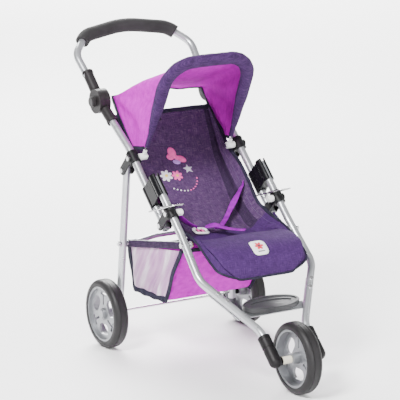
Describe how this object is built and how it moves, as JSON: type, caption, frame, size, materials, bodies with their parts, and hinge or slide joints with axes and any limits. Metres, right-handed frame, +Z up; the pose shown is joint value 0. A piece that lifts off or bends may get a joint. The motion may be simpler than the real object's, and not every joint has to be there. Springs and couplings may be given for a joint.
{
  "type": "doll stroller",
  "caption": "Folding doll stroller with tube frame, sling seat, canopy, mesh basket, footrest, lock sleeves and an adjustable push handle.",
  "frame": {"origin": "on the floor, under the middle of the bounding box", "axes": "the front faces -Y, +Z is up and the left side is at +X"},
  "size_m": [0.416, 0.8748, 0.7367],
  "materials": {
    "powder_coat": "satin",
    "bare_steel": "satin",
    "brass_plate": "satin",
    "dark_plastic": "matt",
    "gloss_black": "gloss",
    "grey_plastic": "satin",
    "white_plastic": "gloss",
    "cream_plastic": "satin",
    "tyre_foam": "matt",
    "rim_grey": "satin",
    "grip_foam": "matt",
    "purple_denim": "matt",
    "magenta_cloth": "matt",
    "pink_mesh": "matt"
  },
  "bodies": {
    "lower_frame": {"lower_tube_left": "powder_coat", "lower_tube_right": "powder_coat", "fork_end_left": "gloss_black", "fork_end_right": "gloss_black", "front_axle": "bare_steel", "hub_spacers": "cream_plastic", "footrest": "gloss_black", "footrest_bracket": "powder_coat", "footrest_rivets": "bare_steel", "lower_clamp_left": "dark_plastic", "lower_clamp_right": "dark_plastic", "lower_clamp_bolts": "bare_steel", "lower_clamp_knobs": "white_plastic", "fold_pivot_bolts": "bare_steel", "strut_bolts": "bare_steel", "strut_cap_nuts": "brass_plate", "seat_base": "purple_denim", "harness": "magenta_cloth"},
    "front_wheel": {"front_tyre": "tyre_foam", "front_rim": "rim_grey"},
    "rear_wheel_left": {"rear_tyre_left": "tyre_foam", "rear_rim_left": "rim_grey", "hub_cap_left": "rim_grey"},
    "rear_wheel_right": {"rear_tyre_right": "tyre_foam", "rear_rim_right": "rim_grey", "hub_cap_right": "rim_grey"},
    "rear_legs": {"rear_leg_left": "powder_coat", "rear_leg_right": "powder_coat", "rear_axle": "bare_steel", "axle_spacers": "gloss_black", "leg_bolts": "bare_steel"},
    "strut_frame": {"strut_left": "powder_coat", "strut_right": "powder_coat", "rear_cross_bar": "powder_coat", "basket": "pink_mesh"},
    "upper_frame": {"upper_tube_left": "powder_coat", "upper_tube_right": "powder_coat", "upper_clamp_left": "dark_plastic", "upper_clamp_right": "dark_plastic", "upper_clamp_bolts": "bare_steel", "leg_pivot_bolts": "bare_steel", "hinge_base_left": "grey_plastic", "hinge_base_right": "grey_plastic", "seat_back": "purple_denim", "canopy": "magenta_cloth"},
    "handle": {"hinge_arm_left": "grey_plastic", "hinge_arm_right": "grey_plastic", "handle_bar": "powder_coat", "handle_grip": "grip_foam"},
    "button_left": {"hinge_button_left": "grey_plastic"},
    "button_right": {"hinge_button_right": "grey_plastic"},
    "sleeve_left": {"lock_sleeve_left": "gloss_black", "sleeve_lips_left": "gloss_black"},
    "sleeve_right": {"lock_sleeve_right": "gloss_black", "sleeve_lips_right": "gloss_black"},
    "bail_left": {"bail_left": "bare_steel"},
    "bail_right": {"bail_right": "bare_steel"},
    "canopy_bow": {"bow_wire": "bare_steel", "bow_clips": "white_plastic", "canopy_hem": "purple_denim"}
  },
  "joints": [
    {"name": "fold", "type": "hinge", "parent": "lower_frame", "child": "upper_frame", "pos_m": [0, -0.01923, 0.33233], "axis": [-1, 0, 0], "range_deg": [0, 90], "deforming": ["sleeve_lips_left", "sleeve_lips_right"]},
    {"name": "strut_fold", "type": "hinge", "parent": "lower_frame", "child": "strut_frame", "pos_m": [0, -0.11565, 0.30668], "axis": [-1, 0, 0], "range_deg": [-1, 65]},
    {"name": "leg_fold", "type": "hinge", "parent": "upper_frame", "child": "rear_legs", "pos_m": [0, 0.15392, 0.42817], "axis": [1, 0, 0], "range_deg": [-1, 40]},
    {"name": "handle_tilt", "type": "hinge", "parent": "upper_frame", "child": "handle", "pos_m": [0, 0.26828, 0.574], "axis": [-1, 0, 0], "range_deg": [-40, 105]},
    {"name": "canopy_fold", "type": "hinge", "parent": "upper_frame", "child": "canopy_bow", "pos_m": [0, 0.12119, 0.46327], "axis": [-1, 0, 0], "range_deg": [0, 55], "deforming": ["canopy"]},
    {"name": "front_wheel_spin", "type": "hinge", "parent": "lower_frame", "child": "front_wheel", "pos_m": [0, -0.35672, 0.082], "axis": [1, 0, 0], "continuous": true},
    {"name": "rear_wheel_left_spin", "type": "hinge", "parent": "rear_legs", "child": "rear_wheel_left", "pos_m": [0.19, 0.17728, 0.082], "axis": [1, 0, 0], "continuous": true},
    {"name": "button_left_press", "type": "slide", "parent": "upper_frame", "child": "button_left", "axis": [-1, 0, 0], "range_m": [0, 0.003], "stiffness_N_per_m": 400},
    {"name": "sleeve_left_slide", "type": "slide", "parent": "upper_frame", "child": "sleeve_left", "axis": [0, 0.7314, 0.682], "range_m": [0, 0.06]},
    {"name": "bail_left_swing", "type": "hinge", "parent": "lower_frame", "child": "bail_left", "pos_m": [0.143, -0.03739, 0.37966], "axis": [1, 0, 0], "range_deg": [-35, 18]},
    {"name": "rear_wheel_right_spin", "type": "hinge", "parent": "rear_legs", "child": "rear_wheel_right", "pos_m": [-0.19, 0.17728, 0.082], "axis": [1, 0, 0], "continuous": true},
    {"name": "button_right_press", "type": "slide", "parent": "upper_frame", "child": "button_right", "axis": [1, 0, 0], "range_m": [0, 0.003], "stiffness_N_per_m": 400},
    {"name": "sleeve_right_slide", "type": "slide", "parent": "upper_frame", "child": "sleeve_right", "axis": [0, 0.7314, 0.682], "range_m": [0, 0.06]},
    {"name": "bail_right_swing", "type": "hinge", "parent": "lower_frame", "child": "bail_right", "pos_m": [-0.143, -0.03739, 0.37966], "axis": [1, 0, 0], "range_deg": [-35, 18]}
  ],
  "couplings": [
    {"joint": "strut_fold", "follows": "fold", "ratio": 0.699},
    {"joint": "leg_fold", "follows": "fold", "ratio": 0.433}
  ]
}
